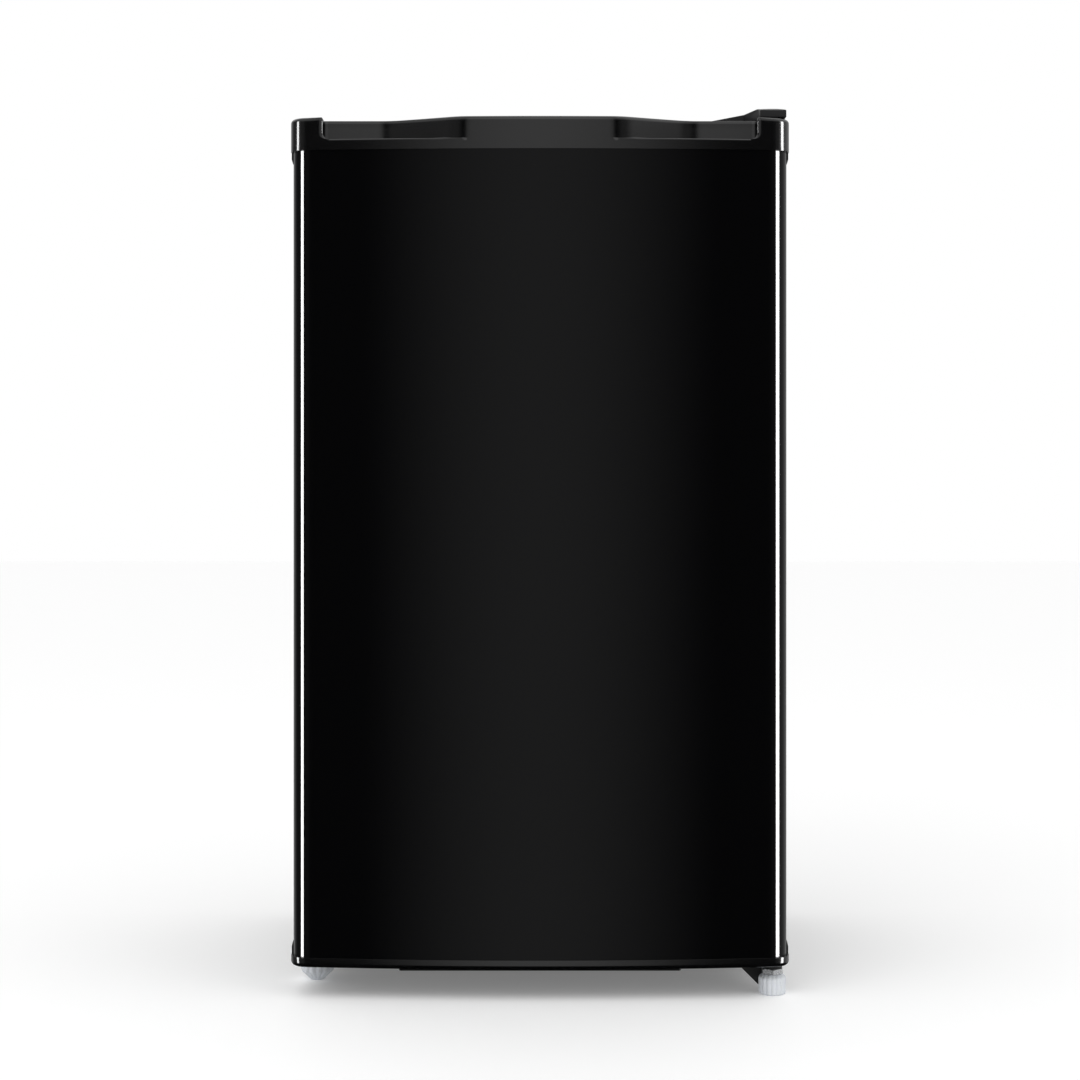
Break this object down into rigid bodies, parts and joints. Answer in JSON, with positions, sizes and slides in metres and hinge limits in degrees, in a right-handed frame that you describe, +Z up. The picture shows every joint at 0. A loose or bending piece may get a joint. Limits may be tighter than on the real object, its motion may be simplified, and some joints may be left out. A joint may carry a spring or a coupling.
{
  "type": "mini fridge",
  "caption": "Compact single-door refrigerator with a bowed gloss door, scooped top handle, freezer box, glass shelves, door bins and rear condenser.",
  "frame": {"origin": "on the floor under the centre of the whole object's box", "axes": "+Z up; the door faces -Y; the hinge side is +X"},
  "size_m": [0.474, 0.452, 0.849],
  "materials": {
    "gloss_black_steel": "gloss",
    "satin_black_steel": "satin",
    "galvanised_steel": "satin",
    "black_bracket_steel": "satin",
    "zinc_steel": "polished",
    "insulation_foam": "matte",
    "white_liner": "satin",
    "white_plastic": "satin",
    "clear_plastic": "gloss",
    "dial_plastic": "satin",
    "black_plastic": "satin",
    "seal_rubber": "matte",
    "bearing_plastic": "satin",
    "foot_plastic": "satin",
    "rear_foot_plastic": "matte",
    "evaporator_aluminium": "satin",
    "shelf_glass": "gloss",
    "black_enamel": "gloss",
    "cast_pump": "matte",
    "copper_pipe": "satin",
    "grey_plastic": "matte"
  },
  "bodies": {
    "root": {"outer_shell": "satin_black_steel", "rear_panel": "galvanised_steel", "compressor_rail": "galvanised_steel", "compressor_feet": "galvanised_steel", "base_pan": "black_bracket_steel", "top_hinge_bracket": "black_bracket_steel", "bottom_hinge_bracket": "black_bracket_steel", "top_hinge_pin": "zinc_steel", "bottom_hinge_pin": "zinc_steel", "hinge_screws": "zinc_steel", "foot_nuts": "zinc_steel", "left_foot_bolt": "zinc_steel", "compressor_bolts": "zinc_steel", "cabinet_foam": "insulation_foam", "inner_liner": "white_liner", "freezer_frame": "white_plastic", "drip_tray_rails": "white_plastic", "thermostat_housing": "white_plastic", "top_hinge_cover": "black_plastic", "cabinet_hole_plugs": "black_plastic", "terminal_cover": "black_plastic", "condenser_brackets": "black_plastic", "thermostat_switch": "black_plastic", "cord_gland": "black_plastic", "compressor_grommets": "seal_rubber", "rear_feet": "rear_foot_plastic", "evaporator": "evaporator_aluminium", "compressor_lower_shell": "black_enamel", "compressor_upper_shell": "black_enamel", "condenser_tube": "black_enamel", "condenser_wires": "black_enamel", "compressor_pump": "cast_pump", "discharge_tube": "copper_pipe", "suction_tube": "copper_pipe", "filter_drier": "copper_pipe", "drip_pan": "grey_plastic", "drain_tube": "grey_plastic"},
    "door": {"door_skin": "gloss_black_steel", "door_foam": "insulation_foam", "door_liner": "white_liner", "door_gasket": "seal_rubber", "door_top_cap": "black_plastic", "door_bottom_cap": "black_plastic", "top_hinge_bush": "bearing_plastic", "bottom_hinge_bush": "bearing_plastic", "door_hole_plugs": "black_plastic"},
    "bin_lower": {"bin_lower": "clear_plastic"},
    "bin_middle": {"bin_middle": "clear_plastic"},
    "bin_upper": {"bin_upper": "clear_plastic"},
    "upper_shelf": {"upper_shelf_glass": "shelf_glass", "upper_shelf_trim": "white_plastic"},
    "lower_shelf": {"lower_shelf_glass": "shelf_glass", "lower_shelf_trim": "white_plastic"},
    "freezer_flap": {"freezer_flap": "white_plastic"},
    "drip_tray": {"drip_tray": "white_plastic"},
    "thermostat_knob": {"thermostat_knob": "dial_plastic"},
    "left_front_foot": {"left_front_foot": "foot_plastic"},
    "right_front_foot": {"right_front_foot": "foot_plastic"}
  },
  "joints": [
    {"name": "door_hinge", "type": "hinge", "parent": "root", "child": "door", "pos_m": [0.222, -0.19, 0.43], "axis": [0, 0, 1], "range_deg": [0, 130]},
    {"name": "bin_lower_lift", "type": "slide", "parent": "door", "child": "bin_lower", "axis": [0, 0, 1], "range_m": [0, 0.014]},
    {"name": "bin_middle_lift", "type": "slide", "parent": "door", "child": "bin_middle", "axis": [0, 0, 1], "range_m": [0, 0.014]},
    {"name": "bin_upper_lift", "type": "slide", "parent": "door", "child": "bin_upper", "axis": [0, 0, 1], "range_m": [0, 0.014]},
    {"name": "upper_shelf_slide", "type": "slide", "parent": "root", "child": "upper_shelf", "axis": [0, -1, 0], "range_m": [0, 0.04]},
    {"name": "lower_shelf_slide", "type": "slide", "parent": "root", "child": "lower_shelf", "axis": [0, -1, 0], "range_m": [0, 0.04]},
    {"name": "freezer_flap_hinge", "type": "hinge", "parent": "root", "child": "freezer_flap", "pos_m": [0, -0.0668, 0.78], "axis": [-1, 0, 0], "range_deg": [0, 90]},
    {"name": "drip_tray_slide", "type": "slide", "parent": "root", "child": "drip_tray", "axis": [0, -1, 0], "range_m": [0, 0.1]},
    {"name": "thermostat_turn", "type": "hinge", "parent": "root", "child": "thermostat_knob", "pos_m": [0.16, -0.07, 0.595], "axis": [-1, 0, 0], "range_deg": [0, 300]},
    {"name": "left_foot_level", "type": "slide", "parent": "root", "child": "left_front_foot", "axis": [0, 0, -1], "range_m": [0, 0.008]},
    {"name": "right_foot_level", "type": "slide", "parent": "root", "child": "right_front_foot", "axis": [0, 0, -1], "range_m": [0, 0.008]}
  ]
}
